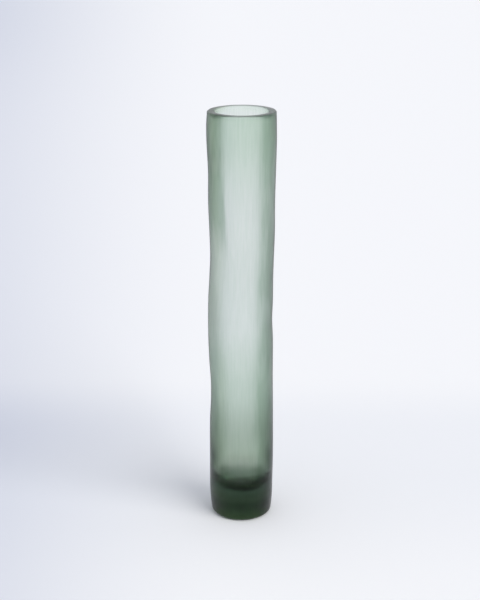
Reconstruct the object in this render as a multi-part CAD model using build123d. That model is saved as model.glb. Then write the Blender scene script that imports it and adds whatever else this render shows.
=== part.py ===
from build123d import *
import math
import os

# A tall cylinder vase of hand-worked glass, in millimetres, with +Z up. The origin is in
# the middle of the ground foot that the vase stands on. It is blown from two gathers of
# glass, fused while hot: an inner bubble, which lines the hollow, and an outer casing,
# which also fills the thick base. A wheel then cuts the outside, so the wall draws in and
# swells again, its sections are a little flattened, and its middle sways on the way up.

# Whole vase
HEIGHT = 420.0
WIDEST_RADIUS = 33.9

# The most that the worked wall draws in, flattens and sways
WAIST_DEPTH = 2.4
FLAT_DEPTH = 0.8
SWAY = 1.35

# Glass: the wall where the vase is widest, the inner gather's part of it, and the base
# under the lowest point of the hollow, which ends in a half ball
WALL = 7.2
BUBBLE_WALL = 2.4
BASE_THICKNESS = 25.0

# Foot: it tapers in to a rounded edge, and its ground face has a shallow dished mark
FOOT_TAPER_DEPTH = 2.2
FOOT_TAPER_RISE = 30.0
FOOT_EDGE_RADIUS = 4.0
DISH_RADIUS = 15.0
DISH_DEPTH = 0.8

# Lip: ground flat, with both edges broken by a small bevel
LIP_BEVEL = 0.9
MOUTH_BEVEL = 0.7

# How much of the outside's unevenness the hollow follows
HOLLOW_FOLLOW_SHARE = 0.6

# Points on each section of the outside, and bands that the wall is worked in
SECTION_POINTS = 16
OUTSIDE_BANDS = 30
HOLLOW_BANDS = 8

# Levels of the foot's taper, as shares of its rise
FOOT_RISE_SHARES = (0.0, 0.4, 0.6, 0.8)

# The worked wall, from the top of the foot to the lip. Each row has the share of the
# height, then shares of the waist depth, of the sway to the right, of the sway to the
# back and of the flat depth, and the flats' turn in degrees.
WALL_SHARES = (
    (0.0, 0.58, -0.2, 0.1, 0.0, 90),
    (0.08, 0.5, 0.05, 0.3, 0.5, 80),
    (0.18, 0.62, 0.05, 0.1, 0.8, 90),
    (0.246, 0.92, 0.4, -0.3, 0.6, 100),
    (0.295, 0.96, 0.25, -0.6, 0.4, 115),
    (0.354, 0.71, -0.3, -0.5, 0.6, 100),
    (0.41, 0.56, -0.6, -0.1, 0.9, 90),
    (0.462, 0.71, -1.0, 0.4, 1.0, 85),
    (0.515, 0.65, -0.65, 0.7, 0.7, 75),
    (0.58, 0.92, -0.1, 0.6, 0.4, 80),
    (0.633, 1.0, 0.45, 0.1, 0.5, 95),
    (0.697, 0.71, 0.45, -0.4, 0.8, 105),
    (0.774, 0.52, 0.05, -0.6, 0.7, 95),
    (0.849, 0.42, 0.35, -0.2, 0.5, 85),
    (0.926, 0.02, 0.1, 0.2, 0.3, 90),
    (0.965, 0.04, 0.0, 0.2, 0.2, 90),
    (1.0, 0.29, 0.2, 0.1, 0.2, 90),
)


def row_slopes(index):
    """How fast each share changes at a row of the table, from its two neighbours."""
    low = WALL_SHARES[max(index - 1, 0)]
    high = WALL_SHARES[min(index + 1, len(WALL_SHARES) - 1)]
    return [(b - a) / (high[0] - low[0]) for a, b in zip(low, high)]


def wall_row(height):
    """The worked wall's shares at any height, on smooth curves through the table's rows."""
    share = (height - FOOT_TAPER_RISE) / (HEIGHT - FOOT_TAPER_RISE)
    share = min(max(share, 0.0), 1.0)
    top = next(i for i in range(1, len(WALL_SHARES)) if share <= WALL_SHARES[i][0])
    low, high = WALL_SHARES[top - 1], WALL_SHARES[top]
    span = high[0] - low[0]
    t = (share - low[0]) / span
    eased = t * t * (3 - 2 * t)
    leaving, arriving = span * t * (1 - t) ** 2, span * t * t * (t - 1)
    columns = zip(low, high, row_slopes(top - 1), row_slopes(top))
    return [a + eased * (b - a) + leaving * p + arriving * q for a, b, p, q in columns]


def outer_section(height, drawn_in=0, sway=SWAY):
    """One level section of the outside, with its two flats, as a face."""
    _, waist, across, back, flat, turn = wall_row(height)
    round_radius = WIDEST_RADIUS - WAIST_DEPTH * waist - drawn_in
    points = []
    for i in range(SECTION_POINTS):
        angle = 360 * i / SECTION_POINTS
        flattening = (1 + math.cos(math.radians(2 * (angle - turn)))) / 2
        radius = round_radius - FLAT_DEPTH * flat * flattening
        points.append(Vector(radius, 0).rotate(Axis.Z, angle))
    return Pos(sway * across, sway * back, height) * make_face(Spline(points, periodic=True))


def hollow_round(height, gap):
    """The hollow at a height, the gap inside the outside: its middle and its radius."""
    _, waist, across, back, _, _ = wall_row(height)
    follow = HOLLOW_FOLLOW_SHARE
    radius = WIDEST_RADIUS - WAIST_DEPTH * waist * follow - gap
    return SWAY * across * follow, SWAY * back * follow, radius


def worked_body():
    """The outside's whole form, solid: the tapered foot under the uneven wall."""
    sections = []
    for share in FOOT_RISE_SHARES:
        drawn_in = FOOT_TAPER_DEPTH * (1 - share) ** 2
        sections.append(outer_section(FOOT_TAPER_RISE * share, drawn_in, SWAY * share))
    for i in range(OUTSIDE_BANDS + 1):
        worked = (HEIGHT - FOOT_TAPER_RISE) * i / OUTSIDE_BANDS
        sections.append(outer_section(FOOT_TAPER_RISE + worked))
    body = loft(sections, ruled=True)
    body = fillet(body.faces().sort_by(Axis.Z)[0].edges(), FOOT_EDGE_RADIUS)
    return chamfer(body.faces().sort_by(Axis.Z)[-1].edges(), LIP_BEVEL)


def hollow_body(floor, gap):
    """A solid that fills the vase inside the wall: a half ball, then up to the lip."""
    across, back, ball_radius = hollow_round(floor + WIDEST_RADIUS - gap, gap)
    rim = floor + ball_radius
    sections = [Pos(across, back, rim) * Circle(ball_radius)]
    for i in range(1, HOLLOW_BANDS + 1):
        height = rim + (HEIGHT - rim) * i / HOLLOW_BANDS
        across_here, back_here, radius = hollow_round(height, gap)
        sections.append(Pos(across_here, back_here, height) * Circle(radius))
    top = (Align.CENTER, Align.CENTER, Align.MAX)
    half_ball = Sphere(ball_radius, arc_size1=-90, arc_size2=0, align=top)
    return loft(sections, ruled=True) + Pos(across, back, rim) * half_ball


def foot_dish():
    """The shallow ball-shaped hollow that the wheel leaves in the middle of the foot."""
    ball_radius = (DISH_RADIUS**2 + DISH_DEPTH**2) / (2 * DISH_DEPTH)
    return Pos(0, 0, DISH_DEPTH - ball_radius) * Sphere(ball_radius)


def bubble_body():
    """The inner gather with its hollow still filled: where the two gathers meet."""
    return hollow_body(BASE_THICKNESS - BUBBLE_WALL, WALL - BUBBLE_WALL)


def outer_casing():
    """The outer gather: the worked wall, the thick base, the foot and the lip's outside."""
    return worked_body() - bubble_body() - foot_dish()


def inner_bubble():
    """The inner gather: an even skin that lines the hollow, bevelled at the mouth."""
    skin = bubble_body() - hollow_body(BASE_THICKNESS, WALL)
    mouth = skin.faces().sort_by(Axis.Z)[-1].inner_wires()[0]
    return chamfer(mouth.edges(), MOUTH_BEVEL)


os.makedirs("parts", exist_ok=True)
export_step(outer_casing(), "parts/outer_casing.step")
export_step(inner_bubble(), "parts/inner_bubble.step")
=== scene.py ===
"""Looks of a tall cylinder vase of hand-worked glass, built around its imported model.

The vase is blown from two gathers of grey-green glass, fused while hot. A wheel has cut
its whole outside to a satin skin of small upright marks, ground the lip and the foot
flat, and left the hollow as the fire polished it. Every length is in metres, +Z is up
and the foot stands on the floor at z = 0.
"""

import logging
import math
from dataclasses import dataclass, field
from enum import Enum

import bpy
import numpy as np
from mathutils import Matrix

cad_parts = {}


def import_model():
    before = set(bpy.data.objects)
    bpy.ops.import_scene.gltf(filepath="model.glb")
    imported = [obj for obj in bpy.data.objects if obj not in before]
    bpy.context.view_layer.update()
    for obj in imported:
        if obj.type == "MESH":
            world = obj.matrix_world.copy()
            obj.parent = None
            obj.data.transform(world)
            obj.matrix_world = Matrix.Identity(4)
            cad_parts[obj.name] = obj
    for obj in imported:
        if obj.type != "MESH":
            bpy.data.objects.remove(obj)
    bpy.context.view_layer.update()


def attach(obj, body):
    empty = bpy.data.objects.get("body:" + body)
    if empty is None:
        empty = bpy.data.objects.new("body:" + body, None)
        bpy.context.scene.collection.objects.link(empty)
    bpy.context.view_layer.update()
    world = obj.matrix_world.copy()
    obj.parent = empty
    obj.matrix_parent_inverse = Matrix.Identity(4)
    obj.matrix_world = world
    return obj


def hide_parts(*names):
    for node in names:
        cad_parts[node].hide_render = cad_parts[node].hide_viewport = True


LOG = logging.getLogger("vase")

Colour = tuple[float, float, float, float]

# The Mix node has several inputs and outputs of one name, so they are called by number
SHARE, VALUE_A, VALUE_B, COLOUR_A, COLOUR_B = 0, 2, 3, 6, 7
MIXED_VALUE, MIXED_COLOUR = 0, 2


class Skin(Enum):
    """How the glass was finished. The value is how much of the wheel's skin it has."""

    FIRE_POLISHED = 0.0
    GROUND_FLAT = 0.85
    WHEEL_CUT = 1.0


class Sum(Enum):
    """How two amounts make a third one. The value is Blender's name for the sum."""

    PLUS = "ADD"
    LESS = "SUBTRACT"
    TIMES = "MULTIPLY"
    OVER = "DIVIDE"
    LARGER_OF = "MAXIMUM"


def linear(shade: str) -> Colour:
    """Turns an sRGB hex value into linear light.

    Dark values lie on a straight line and the others on a power of 2.4.

    Args:
        shade: Six hex digits after a hash.

    Returns:
        Linear red, green and blue, and an alpha of 1.
    """
    parts = np.array([int(shade[i : i + 2], 16) for i in (1, 3, 5)]) / 255
    light = np.where(parts <= 0.04045, parts / 12.92, ((parts + 0.055) / 1.055) ** 2.4)
    return (*(float(x) for x in light), 1.0)


def add_node(
    tree: bpy.types.NodeTree,
    kind: str,
    values: dict | None = None,
    links: dict | None = None,
    **settings: object,
) -> bpy.types.Node:
    """Adds one node with its settings, constants and links.

    Args:
        tree: Node tree that takes the node.
        kind: Blender's name for the kind of node.
        values: Constant of each input, by name or number.
        links: Output that feeds each input, by name or number.
        settings: Attributes of the node itself, where an Enum stands for its value.

    Returns:
        The new node.
    """
    node = tree.nodes.new(kind)
    for name, value in settings.items():
        setattr(node, name, value.value if isinstance(value, Enum) else value)
    for key, value in (values or {}).items():
        node.inputs[key].default_value = value
    for key, output in (links or {}).items():
        tree.links.new(output, node.inputs[key])
    return node


@dataclass
class WorkedWall:
    """The uneven outside of the vase, which the wheel draws in, flattens and sways."""

    height: float = 0.420
    widest_radius: float = 0.0339
    waist_depth: float = 0.0024
    flat_depth: float = 0.0008
    sway: float = 0.00135
    foot_rise: float = 0.030
    foot_taper: float = 0.0022
    # Share of the height above the foot's taper, then shares of the waist depth, of the
    # sway to the right, of the sway to the back and of the flat depth, and the flats' turn
    rows: tuple[tuple[float, ...], ...] = (
        (0.0, 0.58, -0.2, 0.1, 0.0, 90),
        (0.08, 0.5, 0.05, 0.3, 0.5, 80),
        (0.18, 0.62, 0.05, 0.1, 0.8, 90),
        (0.246, 0.92, 0.4, -0.3, 0.6, 100),
        (0.295, 0.96, 0.25, -0.6, 0.4, 115),
        (0.354, 0.71, -0.3, -0.5, 0.6, 100),
        (0.41, 0.56, -0.6, -0.1, 0.9, 90),
        (0.462, 0.71, -1.0, 0.4, 1.0, 85),
        (0.515, 0.65, -0.65, 0.7, 0.7, 75),
        (0.58, 0.92, -0.1, 0.6, 0.4, 80),
        (0.633, 1.0, 0.45, 0.1, 0.5, 95),
        (0.697, 0.71, 0.45, -0.4, 0.8, 105),
        (0.774, 0.52, 0.05, -0.6, 0.7, 95),
        (0.849, 0.42, 0.35, -0.2, 0.5, 85),
        (0.926, 0.02, 0.1, 0.2, 0.3, 90),
        (0.965, 0.04, 0.0, 0.2, 0.2, 90),
        (1.0, 0.29, 0.2, 0.1, 0.2, 90),
    )

    def shares(self, level: np.ndarray) -> np.ndarray:
        """Reads the table at any heights, on smooth curves through its rows.

        Each value is a cubic between two rows that leaves and reaches them with the
        slope between their own neighbours.

        Args:
            level: Heights above the floor.

        Returns:
            One row per height: waist, sway right, sway back, flat depth, flats' turn.
        """
        table = np.array(self.rows)
        before = np.vstack((table[:1], table[:-1]))
        after = np.vstack((table[1:], table[-1:]))
        slopes = (after - before) / (after[:, :1] - before[:, :1])
        share = np.clip((level - self.foot_rise) / (self.height - self.foot_rise), 0, 1)
        top = np.clip(np.searchsorted(table[:, 0], share), 1, len(table) - 1)
        low, high = table[top - 1], table[top]
        span = high[:, :1] - low[:, :1]
        t = (share[:, None] - low[:, :1]) / span
        eased = t * t * (3 - 2 * t)
        curve = low + eased * (high - low)
        curve += span * t * (1 - t) ** 2 * slopes[top - 1]
        curve += span * t * t * (t - 1) * slopes[top]
        return curve[:, 1:]

    def rings(self, angle: np.ndarray, level: np.ndarray) -> np.ndarray:
        """Works out the outside at every angle of every level.

        The radius is the widest radius, less the waist, less the foot's taper (a
        parabola over its rise), less the flats (half of one plus the cosine of twice
        the angle from their turn). Each level is centred on its sway.

        Args:
            angle: Angles around the vase, in radians.
            level: Heights above the floor.

        Returns:
            Centre x, centre y and radius, each an array of levels by angles.
        """
        waist, across, back, flat, turn = (c[:, None] for c in self.shares(level).T)
        foot = np.clip(level / self.foot_rise, 0, 1)[:, None]
        flats = (1 + np.cos(2 * (angle - np.radians(turn)))) / 2
        radius = self.widest_radius - self.waist_depth * waist
        radius = radius - self.foot_taper * (1 - foot) ** 2 - self.flat_depth * flat * flats
        ones = np.ones_like(radius)
        return np.stack((self.sway * across * foot * ones, self.sway * back * foot * ones, radius))


@dataclass
class WheelCuts:
    """The small upright marks that the wheel leaves side by side all over the outside."""

    around: int = 60
    length: float = 0.03
    depth: float = 0.00005
    # The shallowest mark, as a share of the deepest
    least_share: float = 0.25
    # How far every second column is moved along, as a share of a mark's length
    stagger: float = 0.5
    # Where the marks begin above the floor, and the rise to their full depth
    lowest: float = 0.002
    fade_rise: float = 0.01
    # Rows of marks that are drawn by chance, which is more than the wall holds
    rows_drawn: int = 128
    seed: int = 7

    def depths(self, angle: np.ndarray, level: np.ndarray) -> np.ndarray:
        """Works out how deep the marks are at every angle of every level.

        Each mark is a shallow scoop: its own depth times a parabola across it times a
        parabola along it. Each column starts at its own height.

        Args:
            angle: Angles around the vase, in radians.
            level: Heights above the floor.

        Returns:
            Depths as an array of levels by angles.
        """
        chance = np.random.default_rng(self.seed)
        across = np.broadcast_to(angle * self.around / (2 * np.pi), (len(level), len(angle)))
        column = np.floor(across).astype(int)
        start = chance.uniform(0, 1, self.around)[column % self.around]
        along = level[:, None] / self.length + start + self.stagger * (column % 2)
        row = np.floor(along).astype(int)
        drawn = chance.uniform(self.least_share, 1, (self.rows_drawn, self.around))
        own = drawn[row % self.rows_drawn, column % self.around]
        u, v = 2 * (across - column) - 1, 2 * (along - row) - 1
        fade = np.clip((level - self.lowest) / self.fade_rise, 0, 1)[:, None]
        return self.depth * own * (1 - u * u) * (1 - v * v) * fade


@dataclass(frozen=True)
class Stretch:
    """A stretch along one axis over which something comes in, from none to its most."""

    axis: str
    start: float
    full: float
    most: float = 1.0


@dataclass(frozen=True)
class ShadeWash:
    """A painted shade over one zone, which comes in as the skin turns away from the eye.

    The skin's facing is 0 where it looks at the eye and 1 where it is seen edge on. The
    wash starts at one facing and is full at another.
    """

    zone: str
    shade: str
    start: float
    full: float


@dataclass(frozen=True)
class GlassZones:
    """Stretches that mark off painted shade, and where the glass was ground its own way."""

    # The heel is the wall just above the half ball that the hollow ends in
    heel_top: Stretch = Stretch("Z", 0.092, 0.066)
    heel_bottom: Stretch = Stretch("Z", 0.044, 0.054)
    low_back_top: Stretch = Stretch("Z", 0.058, 0.040)
    low_back_bottom: Stretch = Stretch("Z", 0.025, 0.034)
    low_wall: Stretch = Stretch("Z", 0.165, 0.055)
    lower_left: Stretch = Stretch("Z", 0.21, 0.16, 0.4)
    upper_left: Stretch = Stretch("Z", 0.25, 0.34)
    top_left: Stretch = Stretch("Z", 0.355, 0.385)
    above_base: Stretch = Stretch("Z", 0.030, 0.050)
    # The ground lip takes no tint from the sides or the outline
    below_lip: Stretch = Stretch("Z", 0.4196, 0.4188)
    left: Stretch = Stretch("X", -0.004, -0.022)
    right: Stretch = Stretch("X", -0.005, 0.020)
    front: Stretch = Stretch("Y", 0.012, -0.012)
    back: Stretch = Stretch("Y", 0.018, 0.028)
    # On the back wall, the tints by height lie lower by up to this much
    lift: Stretch = Stretch("Y", 0.018, 0.030, 0.010)
    # Round the base the wheel was finer, and its lines begin to show above
    coarse: Stretch = Stretch("Z", 0.045, 0.09)


@dataclass(frozen=True)
class TintedGlass:
    """Grey-green soda-lime glass, blown, then ground with a wheel outside.

    The wheel's skin scatters what is behind it, so the wall looks satin and softly lit.
    The glass itself drinks light along its depth, so the solid base looks dark, and
    painted shade darkens the base and the outline further.
    """

    name: str = "wheel_ground_soda_lime_glass"
    body_tint: str = "#b4ccbc"
    density: float = 36.0
    ior: float = 1.52
    # The cut skin shades its own small hollows, so it shines less than polished glass
    gloss: str = "#868686"
    polished_tint: str = "#ffffff"
    line_tint: str = "#f2f6f3"
    # Tint at shares of the height: the thick base drinks most light, the lip a little. Below
    # the middle the darkening is also painted shade, deepest round the hollow's rounded end
    tints: tuple[tuple[float, str], ...] = (
        (0.0, "#68824f"),
        (0.01, "#465933"),
        (0.045, "#4a5b4a"),
        (0.06, "#6d7b68"),
        (0.088, "#64736b"),
        (0.096, "#728372"),
        (0.112, "#ffffff"),
        (0.128, "#dbe6d4"),
        (0.2, "#c7d2c5"),
        (0.34, "#ebf3ec"),
        (0.5, "#feffff"),
        (0.75, "#ffffff"),
        (0.99, "#ecf6ec"),
        (1.0, "#f6fbf6"),
    )
    zones: GlassZones = GlassZones()
    # Painted shade, laid one over another: each wash darkens its zone toward the outline,
    # where the eye also looks through more glass. The one over the whole skin paints a dark
    # edge, the heel's and the low back's paint shade low round the hollow's rounded end,
    # and the last paints the left side a little greener.
    shade_washes: tuple[ShadeWash, ...] = (
        ShadeWash("right_side", "#b2c4b5", 0.04, 0.3),
        ShadeWash("left_side", "#b2c4b5", 0.06, 0.3),
        # Painted shade: a darker band high on the left, with a crisp inner edge
        ShadeWash("left_shade_band", "#b2c4b5", 0.11, 0.19),
        ShadeWash("outline", "#9aa69f", 0.35, 1.0),
        ShadeWash("skin", "#3f4a44", 0.66, 0.92),
        ShadeWash("low_outline", "#8e9b94", 0.1, 0.8),
        ShadeWash("heel", "#6b7870", 0.1, 0.6),
        ShadeWash("top_of_left_shade_band", "#ece9ea", 0.08, 0.3),
        ShadeWash("low_back", "#c0c2bc", 0.0, 0.01),
        ShadeWash("left", "#fcfff1", 0.05, 0.4),
    )
    # How fast a wash comes in as the skin turns away, where a half is even
    facing_blend: float = 0.5
    # The outline's painted shade is deeper on the right: it grows over this far to each
    # side of the middle, and is this strong on the right
    half_width: float = 0.033
    right_outline: float = 1.0
    cut_roughness: float = 0.36
    base_roughness: float = 0.28
    polished_roughness: float = 0.12
    # Grinding lines are about 0.2 mm apart in truth; drawn at 1.8 mm so that they show
    line_width: float = 0.0018
    line_length: float = 0.030
    line_depth: float = 0.0001
    line_noise: tuple[float, float] = (0.35, 0.65)
    # The clouding of the skin, and how far it swings the roughness to each side
    cloud_width: float = 0.012
    cloud_length: float = 0.060
    cloud_noise: tuple[float, float] = (0.3, 0.7)
    cloud_roughness: float = 0.05
    # The least and the most that the clouding makes of the sides' washes
    uneven_noise: tuple[float, float] = (0.35, 0.65)
    uneven_share: tuple[float, float] = (0.75, 1.3)
    noise_detail: float = 2.0
    noise_roughness: float = 0.5

    def material(self) -> bpy.types.Material:
        """Builds the glass: tinted by place and facing, rough by skin, lines in relief.

        Returns:
            The finished material.
        """
        made = bpy.data.materials.new(self.name)
        made.use_nodes = True
        tree = made.node_tree
        tree.nodes.clear()
        place = add_node(tree, "ShaderNodeTexCoord").outputs["Object"]
        skin = add_node(tree, "ShaderNodeAttribute", attribute_name="skin").outputs["Fac"]
        lines = self.streaks(tree, place, self.line_width, self.line_length)
        clouds = self.streaks(tree, place, self.cloud_width, self.cloud_length)
        split = add_node(tree, "ShaderNodeSeparateXYZ", None, {"Vector": place})
        at = self.marked_off(tree, split, skin, clouds)
        glass = add_node(
            tree, "ShaderNodeBsdfPrincipled",
            {
                "IOR": self.ior, "Transmission Weight": 1.0, "Metallic": 0.0,
                "Specular Tint": linear(self.gloss),
            },
            {
                "Base Color": self.tint(tree, split, at, lines),
                "Roughness": self.roughness(tree, at, clouds),
                "Normal": self.relief(tree, at, lines),
            },
        )
        body = add_node(
            tree, "ShaderNodeVolumeAbsorption",
            {"Color": linear(self.body_tint), "Density": self.density},
        )
        add_node(
            tree, "ShaderNodeOutputMaterial", None,
            {"Surface": glass.outputs[0], "Volume": body.outputs[0]},
        )
        return made

    def streaks(
        self, tree: bpy.types.NodeTree, place: bpy.types.NodeSocket, width: float, length: float
    ) -> bpy.types.NodeSocket:
        """Adds upright streaks of noise.

        Args:
            tree: The material's nodes.
            place: Object coordinates.
            width: Width of a streak.
            length: Height of a streak.

        Returns:
            Noise from 0 to 1.
        """
        stretched = add_node(
            tree, "ShaderNodeMapping", {"Scale": (1 / width, 1 / width, 1 / length)},
            {"Vector": place},
        ).outputs[0]
        return add_node(
            tree, "ShaderNodeTexNoise",
            {"Scale": 1.0, "Detail": self.noise_detail, "Roughness": self.noise_roughness},
            {"Vector": stretched},
        ).outputs["Fac"]

    def marked_off(
        self,
        tree: bpy.types.NodeTree,
        split: bpy.types.Node,
        skin: bpy.types.NodeSocket,
        clouds: bpy.types.NodeSocket,
    ) -> dict[str, bpy.types.NodeSocket]:
        """Adds the zones that the washes, the roughness and the relief keep to.

        The sides' washes of painted shade lie on the front wall below the lip, and the
        clouding makes them uneven. High up on the left a band of painted shade starts at
        a crisp edge. The outline's wash ends below the lip too, and is deepest on the right.

        Args:
            tree: The material's nodes.
            split: The node that gives X, Y and Z apart.
            skin: Share of the wheel's skin, 0 to 1.
            clouds: The clouding, 0 to 1.

        Returns:
            How much of each zone is there, by its name.
        """
        at = {
            name: add_node(
                tree, "ShaderNodeMapRange",
                {"From Min": part.start, "From Max": part.full, "To Max": part.most},
                {"Value": split.outputs[part.axis]}, interpolation_type="SMOOTHSTEP",
            ).outputs[0]
            for name, part in vars(self.zones).items()
        }
        at["skin"] = skin
        at["uneven"] = add_node(
            tree, "ShaderNodeMapRange",
            {
                "From Min": self.uneven_noise[0], "From Max": self.uneven_noise[1],
                "To Min": self.uneven_share[0], "To Max": self.uneven_share[1],
            },
            {"Value": clouds},
        ).outputs[0]
        on_left = add_node(
            tree, "ShaderNodeMath", None, {0: at["lower_left"], 1: at["upper_left"]},
            operation=Sum.PLUS,
        ).outputs[0]
        at["outline"] = add_node(
            tree, "ShaderNodeMapRange",
            {
                "From Min": -self.half_width, "From Max": self.half_width,
                "To Max": self.right_outline,
            },
            {"Value": split.outputs["X"], "To Min": on_left},
        ).outputs[0]
        for name, one, how, other in (
            ("outline", "outline", Sum.TIMES, "below_lip"),
            ("low_outline", "low_wall", Sum.TIMES, "outline"),
            ("heel", "heel_top", Sum.TIMES, "heel_bottom"),
            ("low_back", "low_back_top", Sum.TIMES, "low_back_bottom"),
            ("low_back", "low_back", Sum.TIMES, "back"),
            ("front", "front", Sum.TIMES, "uneven"),
            ("front", "front", Sum.TIMES, "below_lip"),
            ("front_left", "front", Sum.TIMES, "left"),
            ("front_right", "front", Sum.TIMES, "right"),
            ("right_side", "front_right", Sum.TIMES, "above_base"),
            ("soft", "lower_left", Sum.PLUS, "top_left"),
            ("left_side", "front_left", Sum.TIMES, "soft"),
            ("crisp", "upper_left", Sum.LESS, "top_left"),
            ("left_shade_band", "front_left", Sum.TIMES, "crisp"),
            ("top_of_left_shade_band", "front_left", Sum.TIMES, "top_left"),
        ):
            at[name] = add_node(
                tree, "ShaderNodeMath", None, {0: at[one], 1: at[other]}, operation=how
            ).outputs[0]
        return at

    def by_height(
        self, tree: bpy.types.NodeTree, split: bpy.types.Node, lift: bpy.types.NodeSocket
    ) -> bpy.types.NodeSocket:
        """Adds the tints by height, with their painted shade, which lie lower on the back wall.

        Args:
            tree: The material's nodes.
            split: The node that gives X, Y and Z apart.
            lift: How much lower the tints lie.

        Returns:
            The tint's colour.
        """
        lifted = add_node(
            tree, "ShaderNodeMath", None, {0: split.outputs["Z"], 1: lift}, operation=Sum.PLUS
        ).outputs[0]
        share = add_node(
            tree, "ShaderNodeMapRange", {"From Min": 0.0, "From Max": WorkedWall.height},
            {"Value": lifted},
        ).outputs[0]
        ramp = add_node(tree, "ShaderNodeValToRGB", None, {0: share})
        ramp.color_ramp.interpolation = "EASE"
        stops = ramp.color_ramp.elements
        while len(stops) < len(self.tints):
            stops.new(1.0)
        for stop, (level, shade) in zip(stops, self.tints):
            stop.position, stop.color = level, linear(shade)
        return ramp.outputs[0]

    def tint(
        self,
        tree: bpy.types.NodeTree,
        split: bpy.types.Node,
        at: dict[str, bpy.types.NodeSocket],
        lines: bpy.types.NodeSocket,
    ) -> bpy.types.NodeSocket:
        """Adds the worked skin's tint: by height, then painted shade over each zone.

        Each wash comes in toward the outline, where the eye also looks through more glass.
        The grinding lines deepen the whole a little by turns, and the polished hollow
        stays clear.

        Args:
            tree: The material's nodes.
            split: The node that gives X, Y and Z apart.
            at: How much of each zone is there.
            lines: The grinding lines, 0 to 1.

        Returns:
            The tint's colour.
        """
        facing = add_node(
            tree, "ShaderNodeLayerWeight", {"Blend": self.facing_blend}
        ).outputs["Facing"]
        tint = self.by_height(tree, split, at["lift"])
        for wash in self.shade_washes:
            turned = add_node(
                tree, "ShaderNodeMapRange", {"From Min": wash.start, "From Max": wash.full},
                {"Value": facing}, interpolation_type="SMOOTHSTEP",
            ).outputs[0]
            share = add_node(
                tree, "ShaderNodeMath", None, {0: turned, 1: at[wash.zone]}, operation=Sum.TIMES
            ).outputs[0]
            tint = add_node(
                tree, "ShaderNodeMix", {COLOUR_B: linear(wash.shade)},
                {SHARE: share, COLOUR_A: tint}, data_type="RGBA", blend_type="MULTIPLY",
            ).outputs[MIXED_COLOUR]
        ground = add_node(
            tree, "ShaderNodeMapRange",
            {"From Min": self.line_noise[0], "From Max": self.line_noise[1]}, {"Value": lines},
        ).outputs[0]
        tint = add_node(
            tree, "ShaderNodeMix", {COLOUR_B: linear(self.line_tint)},
            {SHARE: ground, COLOUR_A: tint}, data_type="RGBA", blend_type="MULTIPLY",
        ).outputs[MIXED_COLOUR]
        return add_node(
            tree, "ShaderNodeMix", {COLOUR_A: linear(self.polished_tint)},
            {SHARE: at["skin"], COLOUR_B: tint}, data_type="RGBA",
        ).outputs[MIXED_COLOUR]

    def roughness(
        self,
        tree: bpy.types.NodeTree,
        at: dict[str, bpy.types.NodeSocket],
        clouds: bpy.types.NodeSocket,
    ) -> bpy.types.NodeSocket:
        """Adds the roughness: clouded by the wheel, finer round the base, smooth inside.

        Args:
            tree: The material's nodes.
            at: How much of each zone is there.
            clouds: The clouding, 0 to 1.

        Returns:
            The roughness, 0 to 1.
        """
        cloudy = add_node(
            tree, "ShaderNodeMapRange",
            {
                "From Min": self.cloud_noise[0], "From Max": self.cloud_noise[1],
                "To Min": self.cut_roughness - self.cloud_roughness,
                "To Max": self.cut_roughness + self.cloud_roughness,
            },
            {"Value": clouds},
        ).outputs[0]
        satin = add_node(
            tree, "ShaderNodeMix", {VALUE_A: self.base_roughness},
            {SHARE: at["coarse"], VALUE_B: cloudy},
        ).outputs[MIXED_VALUE]
        return add_node(
            tree, "ShaderNodeMix", {VALUE_A: self.polished_roughness},
            {SHARE: at["skin"], VALUE_B: satin},
        ).outputs[MIXED_VALUE]

    def relief(
        self,
        tree: bpy.types.NodeTree,
        at: dict[str, bpy.types.NodeSocket],
        lines: bpy.types.NodeSocket,
    ) -> bpy.types.NodeSocket:
        """Adds the grinding lines as relief, where the wheel was coarse.

        Args:
            tree: The material's nodes.
            at: How much of each zone is there.
            lines: The grinding lines, 0 to 1.

        Returns:
            The direction that the surface faces.
        """
        shown = add_node(
            tree, "ShaderNodeMath", None, {0: at["coarse"], 1: at["skin"]}, operation=Sum.TIMES
        ).outputs[0]
        height = add_node(
            tree, "ShaderNodeMath", None, {0: lines, 1: shown}, operation=Sum.TIMES
        ).outputs[0]
        return add_node(
            tree, "ShaderNodeBump", {"Strength": 1.0, "Distance": self.line_depth},
            {"Height": height},
        ).outputs[0]


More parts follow.
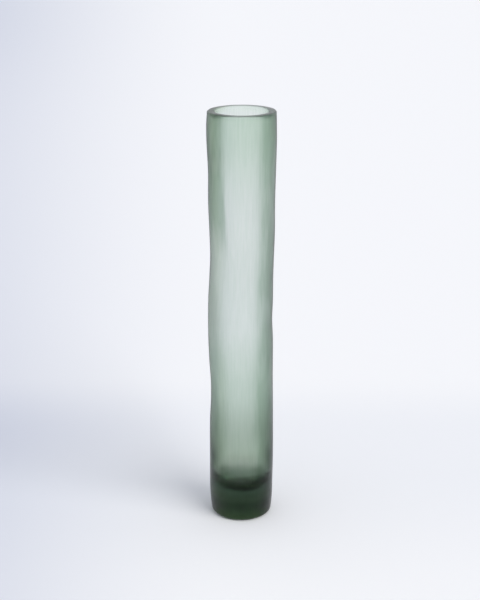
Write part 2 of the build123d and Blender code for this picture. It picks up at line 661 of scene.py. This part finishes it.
@dataclass
class Vase:
    """The whole vase as one closed body of glass, both gathers fused."""

    wall: WorkedWall = field(default_factory=WorkedWall)
    cuts: WheelCuts = field(default_factory=WheelCuts)
    glass: TintedGlass = field(default_factory=TintedGlass)
    wall_thickness: float = 0.0072
    base_thickness: float = 0.025
    # How much of the outside's unevenness the hollow follows
    follow: float = 0.6
    foot_edge: float = 0.004
    dish_radius: float = 0.015
    dish_depth: float = 0.0008
    lip_bevel: float = 0.0009
    mouth_bevel: float = 0.0007
    around: int = 240
    dish_rings: int = 10
    face_rings: int = 6
    edge_rings: int = 13
    side_rings: int = 270
    lip_bevel_rings: int = 5
    mouth_bevel_rings: int = 4
    hollow_rings: int = 60
    ball_rings: int = 28
    # Rings close to an edge keep it crisp: below the outer bevel, as shares of its size,
    # and across the lip's face, as shares of its width
    under_bevel_shares: tuple[float, ...] = (0.5, 0.1, 0.0)
    lip_face_shares: tuple[float, ...] = (0.03, 0.25, 0.5, 0.75, 0.97)

    def outside(self, angle: np.ndarray) -> tuple[np.ndarray, np.ndarray]:
        """Works out the foot's rounded edge, the worked side and the lip's outer bevel.

        The foot's edge is a quarter round: the inset is its radius less the root of its
        square less the square of the height left. The bevel's inset grows evenly.

        Args:
            angle: Angles around the vase, in radians.

        Returns:
            Points as levels by angles by three, and the skin of each level.
        """
        turn = np.linspace(0, np.pi / 2, self.edge_rings)
        edge = self.foot_edge * (1 - np.cos(turn))
        top = self.wall.height - self.lip_bevel
        side = np.linspace(self.foot_edge, top, self.side_rings)[1:-1]
        under = top - self.lip_bevel * np.array(self.under_bevel_shares)
        bevel = np.linspace(top, self.wall.height, self.lip_bevel_rings)[1:]
        level = np.concatenate((edge, side, under, bevel))
        low = np.clip(1 - level / self.foot_edge, 0, 1)
        inset = self.foot_edge * (1 - np.sqrt(1 - low**2)) + np.clip(level - top, 0, None)
        x, y, radius = self.wall.rings(angle, level)
        radius = radius - inset[:, None] - self.cuts.depths(angle, level)
        skin = np.full(len(level), Skin.WHEEL_CUT.value)
        skin[-len(bevel) :] = Skin.GROUND_FLAT.value
        return self.points(angle, x, y, radius, level), skin

    def hollow(self, angle: np.ndarray) -> tuple[np.ndarray, np.ndarray]:
        """Works out the mouth's bevel, the hollow's wall and the half ball it ends in.

        A level's radius is the widest radius, less a part of the waist, less the wall.
        In the half ball it is that of the rim times the cosine of the turn below it,
        and the height falls by that radius times the sine.

        Args:
            angle: Angles around the vase, in radians.

        Returns:
            Points as levels by angles by three, and the skin of each level.
        """
        top, widest = self.wall.height, self.wall.widest_radius - self.wall_thickness
        rim = np.array([self.base_thickness + widest])
        ball = widest - self.wall.waist_depth * self.follow * self.wall.shares(rim)[0, 0]
        rim[0] = self.base_thickness + ball
        bevel = np.linspace(top, top - self.mouth_bevel, self.mouth_bevel_rings)
        side = np.linspace(bevel[-1], rim[0], self.hollow_rings)[1:]
        turn = np.linspace(0, np.pi / 2, self.ball_rings)[1:]
        level = np.concatenate((bevel, side, rim[0] - ball * np.sin(turn)))
        waist, across, back, _, _ = self.wall.shares(np.maximum(level, rim[0])).T
        radius = widest - self.wall.waist_depth * waist * self.follow
        radius += np.clip(level - bevel[-1], 0, None)
        radius[-len(turn) :] *= np.cos(turn)
        reach = self.wall.sway * self.follow
        x, y = reach * across[:, None], reach * back[:, None]
        skin = np.full(len(level), Skin.FIRE_POLISHED.value)
        skin[: len(bevel)] = Skin.GROUND_FLAT.value
        return self.points(angle, x, y, radius[:, None], level), skin

    def foot(self, angle: np.ndarray, rim: np.ndarray) -> tuple[np.ndarray, np.ndarray]:
        """Works out the ground face, from the dished mark's middle out to the foot's edge.

        The dish is a ball's cap: its height falls with the square of the radius. The
        face around it is flat and spreads evenly from the dish to the edge.

        Args:
            angle: Angles around the vase, in radians.
            rim: Points of the foot's edge, angles by three.

        Returns:
            Points as levels by angles by three, and the skin of each level.
        """
        share = np.linspace(0, 1, self.dish_rings)
        rise = self.dish_depth * (1 - share**2)
        dish = self.points(angle, 0.0, 0.0, self.dish_radius * share[:, None], rise)
        t = np.linspace(0, 1, self.face_rings)[1:-1, None, None]
        face = dish[-1] * (1 - t) + rim * t
        both = np.concatenate((dish, face))
        return both, np.full(len(both), Skin.GROUND_FLAT.value)

    def lip(self, outer: np.ndarray, inner: np.ndarray) -> tuple[np.ndarray, np.ndarray]:
        """Works out the lip's flat ground face, straight from one bevel to the other.

        Args:
            outer: Points of its outer edge, angles by three.
            inner: Points of its inner edge, angles by three.

        Returns:
            Points as levels by angles by three, and the skin of each level.
        """
        t = np.array(self.lip_face_shares)[:, None, None]
        face = outer * (1 - t) + inner * t
        return face, np.full(len(face), Skin.GROUND_FLAT.value)

    def points(
        self,
        angle: np.ndarray,
        x: np.ndarray | float,
        y: np.ndarray | float,
        radius: np.ndarray,
        level: np.ndarray,
    ) -> np.ndarray:
        """Places a ring at each level: its centre plus its radius along each angle.

        Args:
            angle: Angles around the vase, in radians.
            x: Centres' x, one per level or one for all.
            y: Centres' y, one per level or one for all.
            radius: Radius of each level, at each angle or at all.
            level: Heights above the floor.

        Returns:
            Points as levels by angles by three.
        """
        shape = (len(level), len(angle))
        across = np.broadcast_to(x + radius * np.cos(angle), shape)
        back = np.broadcast_to(y + radius * np.sin(angle), shape)
        return np.stack((across, back, np.broadcast_to(level[:, None], shape)), axis=2)

    def build(self) -> bpy.types.Object:
        """Builds the closed mesh, dresses it and puts it in the nodes' place.

        Returns:
            The vase.
        """
        angle = np.arange(self.around) * 2 * np.pi / self.around
        outer, outer_skin = self.outside(angle)
        foot, foot_skin = self.foot(angle, outer[0])
        inner, inner_skin = self.hollow(angle)
        lip, lip_skin = self.lip(outer[-1], inner[0])
        rings = np.concatenate((foot, outer, lip, inner))
        skin = np.concatenate((foot_skin, outer_skin, lip_skin, inner_skin))
        vase = closed_body("vase_glass", rings, skin)
        vase.data.materials.append(self.glass.material())
        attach(vase, "root")
        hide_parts("outer_casing", "inner_bubble")
        return vase


def closed_body(name: str, rings: np.ndarray, skin: np.ndarray) -> bpy.types.Object:
    """Joins rings into a closed mesh whose first and last rings are single points.

    Each quad has two neighbours on a ring and the two above them on the next ring, and
    a fan of triangles closes each end.

    Args:
        name: Name of the piece.
        rings: Points as levels by angles by three.
        skin: Share of the wheel's skin at each level, 0 to 1.

    Returns:
        The object, at the origin.
    """
    levels, around = rings.shape[:2]
    middle = rings[1:-1].reshape(-1, 3)
    corners = np.vstack((rings[0, :1], middle, rings[-1, :1]))
    grid = 1 + np.arange((levels - 2) * around).reshape(levels - 2, around)
    beside = np.roll(grid, -1, axis=1)
    quads = np.stack((grid[:-1], beside[:-1], beside[1:], grid[1:]), axis=2).reshape(-1, 4)
    last = len(corners) - 1
    bottom = np.stack((np.zeros(around, int), beside[0], grid[0]), axis=1)
    top = np.stack((np.full(around, last), grid[-1], beside[-1]), axis=1)
    mesh = bpy.data.meshes.new(name)
    mesh.from_pydata(corners.tolist(), [], bottom.tolist() + quads.tolist() + top.tolist())
    mesh.polygons.foreach_set("use_smooth", np.ones(len(mesh.polygons), bool))
    share = mesh.attributes.new("skin", "FLOAT", "POINT")
    each = np.concatenate((skin[:1], np.repeat(skin[1:-1], around), skin[-1:]))
    share.data.foreach_set("value", each.astype(np.float32))
    mesh.validate()
    made = bpy.data.objects.new(name, mesh)
    bpy.context.scene.collection.objects.link(made)
    return made


@dataclass(frozen=True)
class PaperZones:
    """Stretches over which painted shade comes in, back along Y or to the side by the fan."""

    left: Stretch = Stretch("fan", 0.0, -0.3)
    seen: Stretch = Stretch("fan", -0.5, -0.19)
    beside: Stretch = Stretch("Y", -0.7, -0.25)
    behind: Stretch = Stretch("Y", 1.2, 5.0)
    # Painted shade: a soft band across the paper about the vase's depth
    shade_band_back: Stretch = Stretch("Y", 0.38, 0.2)
    shade_band_front: Stretch = Stretch("Y", -0.2, 0.1)
    near_shade_band: Stretch = Stretch("Y", 0.05, 0.2)


@dataclass(frozen=True)
class BackgroundPaper:
    """Matt background paper, which scatters light evenly and has next to no shine."""

    name: str = "matt_background_paper"
    shade: str = "#f8f9fd"
    roughness: float = 0.9
    shine: float = 0.1
    # Painted shade that each zone of the paper is multiplied by: darker to the left and
    # more so far behind, in a soft band across it, and as the vase's shadow to the left
    shade_washes: tuple[tuple[str, str], ...] = (
        ("left", "#d9dde8"),
        ("far", "#eceef3"),
        ("shade_band", "#f8f9fb"),
        # Painted shadow of the vase, where the band of shade runs out to the left
        ("left_shadow", "#f1f2f6"),
    )
    zones: PaperZones = PaperZones()
    # The fan is X over the depth from a line this far in front, or over the least depth
    fan_front: float = 1.44
    least_depth: float = 0.9

    def material(self) -> bpy.types.Material:
        """Builds the paper with painted shade: to the left, in a soft band and as a shadow.

        Returns:
            The floor's material.
        """
        made = bpy.data.materials.new(self.name)
        made.use_nodes = True
        tree = made.node_tree
        tree.nodes.clear()
        at = self.marked_off(tree)
        shade = None
        for name, tone in self.shade_washes:
            mixed = add_node(
                tree, "ShaderNodeMix", {COLOUR_A: linear(self.shade), COLOUR_B: linear(tone)},
                {SHARE: at[name]}, data_type="RGBA", blend_type="MULTIPLY",
            )
            if shade is not None:
                tree.links.new(shade, mixed.inputs[COLOUR_A])
            shade = mixed.outputs[MIXED_COLOUR]
        paper = add_node(
            tree, "ShaderNodeBsdfPrincipled",
            {"Roughness": self.roughness, "Specular IOR Level": self.shine},
            {"Base Color": shade},
        )
        add_node(tree, "ShaderNodeOutputMaterial", None, {"Surface": paper.outputs[0]})
        return made

    def marked_off(self, tree: bpy.types.NodeTree) -> dict[str, bpy.types.NodeSocket]:
        """Adds the zones that the paper's washes keep to.

        Args:
            tree: The material's nodes.

        Returns:
            How much of each zone is there, by its name.
        """
        place = add_node(tree, "ShaderNodeTexCoord").outputs["Object"]
        split = add_node(tree, "ShaderNodeSeparateXYZ", None, {"Vector": place})
        depth = add_node(
            tree, "ShaderNodeMath", {1: self.fan_front}, {0: split.outputs["Y"]},
            operation=Sum.PLUS,
        ).outputs[0]
        depth = add_node(
            tree, "ShaderNodeMath", {1: self.least_depth}, {0: depth}, operation=Sum.LARGER_OF
        ).outputs[0]
        fan = add_node(
            tree, "ShaderNodeMath", None, {0: split.outputs["X"], 1: depth}, operation=Sum.OVER
        ).outputs[0]
        along = {"fan": fan, "Y": split.outputs["Y"]}
        at = {
            name: add_node(
                tree, "ShaderNodeMapRange", {"From Min": part.start, "From Max": part.full},
                {"Value": along[part.axis]}, interpolation_type="SMOOTHSTEP",
            ).outputs[0]
            for name, part in vars(self.zones).items()
        }
        for name, one, other in (
            ("left", "left", "seen"),
            ("left", "left", "beside"),
            ("far", "left", "behind"),
            ("shade_band", "shade_band_back", "shade_band_front"),
            ("left_shadow", "left", "shade_band"),
            ("left_shadow", "left_shadow", "near_shade_band"),
        ):
            at[name] = add_node(
                tree, "ShaderNodeMath", None, {0: at[one], 1: at[other]}, operation=Sum.TIMES
            ).outputs[0]
        return at


@dataclass
class Studio:
    """A pale paper floor, soft light all round and one broad lamp on the right."""

    paper: BackgroundPaper = field(default_factory=BackgroundPaper)
    floor_radius: float = 15.0
    floor_around: int = 64
    floor_rings: int = 24
    # The floor's radius grows with this power of a ring's share, so it is fine near the vase
    floor_power: int = 3
    # Just under the foot, so that the two faces don't lie in one plane
    floor_drop: float = 0.0002
    # What is seen all round, and how it dims in the glass from the back to the front
    sky_shade: str = "#f6f7fc"
    dusk_shade: str = "#c9ccd2"
    dusk: Stretch = Stretch("Y", -1.0, 0.3)
    soft_shade: str = "#f8faff"
    soft_level: float = 0.70
    lamp_shade: str = "#fffcf4"
    lamp_level: float = 1.65
    lamp_spread: float = 46.0
    lamp_place: tuple[float, float, float] = (1.1, -1.0, 1.15)

    def floor(self) -> bpy.types.Object:
        """Builds the round floor: rings whose radius grows with the cube of their share.

        Returns:
            The floor.
        """
        rings, around = self.floor_rings, self.floor_around
        angle = np.arange(around) * 2 * np.pi / around
        radius = self.floor_radius * np.linspace(0, 1, rings) ** self.floor_power
        flat = radius[:, None] * np.stack((np.cos(angle), np.sin(angle)))[:, None]
        level = np.full(flat.shape[1:], -self.floor_drop)
        points = np.concatenate((flat, level[None])).transpose(1, 2, 0)
        grid = np.arange(rings * around).reshape(rings, around)
        beside = np.roll(grid, -1, axis=1)
        faces = np.stack((grid[:-1], grid[1:], beside[1:], beside[:-1]), axis=2).reshape(-1, 4)
        mesh = bpy.data.meshes.new("paper_floor")
        mesh.from_pydata(points.reshape(-1, 3).tolist(), [], faces.tolist())
        mesh.validate()
        made = bpy.data.objects.new("paper_floor", mesh)
        bpy.context.scene.collection.objects.link(made)
        made.data.materials.append(self.paper.material())
        return made

    def sky(self) -> None:
        """Builds the soft light all round, which the glass shows dimmer toward the front."""
        world = bpy.data.worlds.new("soft_studio_light")
        bpy.context.scene.world = world
        world.use_nodes = True
        tree = world.node_tree
        tree.nodes.clear()
        path = add_node(tree, "ShaderNodeLightPath")
        camera = path.outputs["Is Camera Ray"]
        seen = camera
        for other in ("Is Glossy Ray", "Is Transmission Ray"):
            seen = add_node(
                tree, "ShaderNodeMath", None, {0: seen, 1: path.outputs[other]},
                operation=Sum.LARGER_OF,
            ).outputs[0]
        toward = add_node(tree, "ShaderNodeTexCoord").outputs["Generated"]
        split = add_node(tree, "ShaderNodeSeparateXYZ", None, {"Vector": toward})
        behind = add_node(
            tree, "ShaderNodeMapRange",
            {"From Min": self.dusk.start, "From Max": self.dusk.full},
            {"Value": split.outputs[self.dusk.axis]}, interpolation_type="SMOOTHSTEP",
        ).outputs[0]
        bright = add_node(
            tree, "ShaderNodeMath", None, {0: behind, 1: camera}, operation=Sum.LARGER_OF
        ).outputs[0]
        shade = add_node(
            tree, "ShaderNodeMix",
            {COLOUR_A: linear(self.dusk_shade), COLOUR_B: linear(self.sky_shade)},
            {SHARE: bright}, data_type="RGBA",
        ).outputs[MIXED_COLOUR]
        shown = add_node(tree, "ShaderNodeBackground", {"Strength": 1.0}, {"Color": shade})
        soft = add_node(
            tree, "ShaderNodeBackground",
            {"Color": linear(self.soft_shade), "Strength": self.soft_level},
        )
        either = add_node(
            tree, "ShaderNodeMixShader", None, {0: seen, 1: soft.outputs[0], 2: shown.outputs[0]}
        )
        add_node(tree, "ShaderNodeOutputWorld", None, {"Surface": either.outputs[0]})

    def lamp(self) -> bpy.types.Object:
        """Adds the broad lamp on the right, whose soft shadow falls to the left.

        Returns:
            The lamp.
        """
        light = bpy.data.lights.new("broad_lamp", "SUN")
        light.energy = self.lamp_level
        light.color = linear(self.lamp_shade)[:3]
        light.angle = math.radians(self.lamp_spread)
        made = bpy.data.objects.new("broad_lamp", light)
        made.location = self.lamp_place
        away = made.location.normalized()
        made.rotation_euler = away.to_track_quat("Z", "Y").to_euler()
        bpy.context.scene.collection.objects.link(made)
        return made


@dataclass
class Viewpoint:
    """The photograph's camera: in front, above the lip and looking down."""

    place: tuple[float, float, float] = (-0.00147, -1.2298, 0.6388)
    down: float = 18.38
    # Focal length and sensor width, in millimetres
    lens: float = 78.0
    sensor: float = 36.0

    def build(self) -> bpy.types.Object:
        """Adds the camera and makes it the scene's own.

        Returns:
            The camera.
        """
        data = bpy.data.cameras.new("viewpoint")
        data.lens = self.lens
        data.sensor_width = self.sensor
        made = bpy.data.objects.new("viewpoint", data)
        made.location = self.place
        made.rotation_euler = (math.radians(90 - self.down), 0.0, 0.0)
        bpy.context.scene.collection.objects.link(made)
        bpy.context.scene.camera = made
        return made


def main() -> None:
    """Loads the frame, then builds the camera, the studio and the vase in that order."""
    logging.basicConfig(level=logging.INFO, format="%(name)s: %(message)s")
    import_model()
    bpy.context.scene.view_settings.view_transform = "Standard"
    LOG.info("camera %s", Viewpoint().build().name)
    studio = Studio()
    LOG.info("floor %s", studio.floor().name)
    studio.sky()
    LOG.info("lamp %s", studio.lamp().name)
    vase = Vase().build()
    LOG.info("piece %s, %d faces", vase.name, len(vase.data.polygons))


if __name__ == "__main__":
    main()
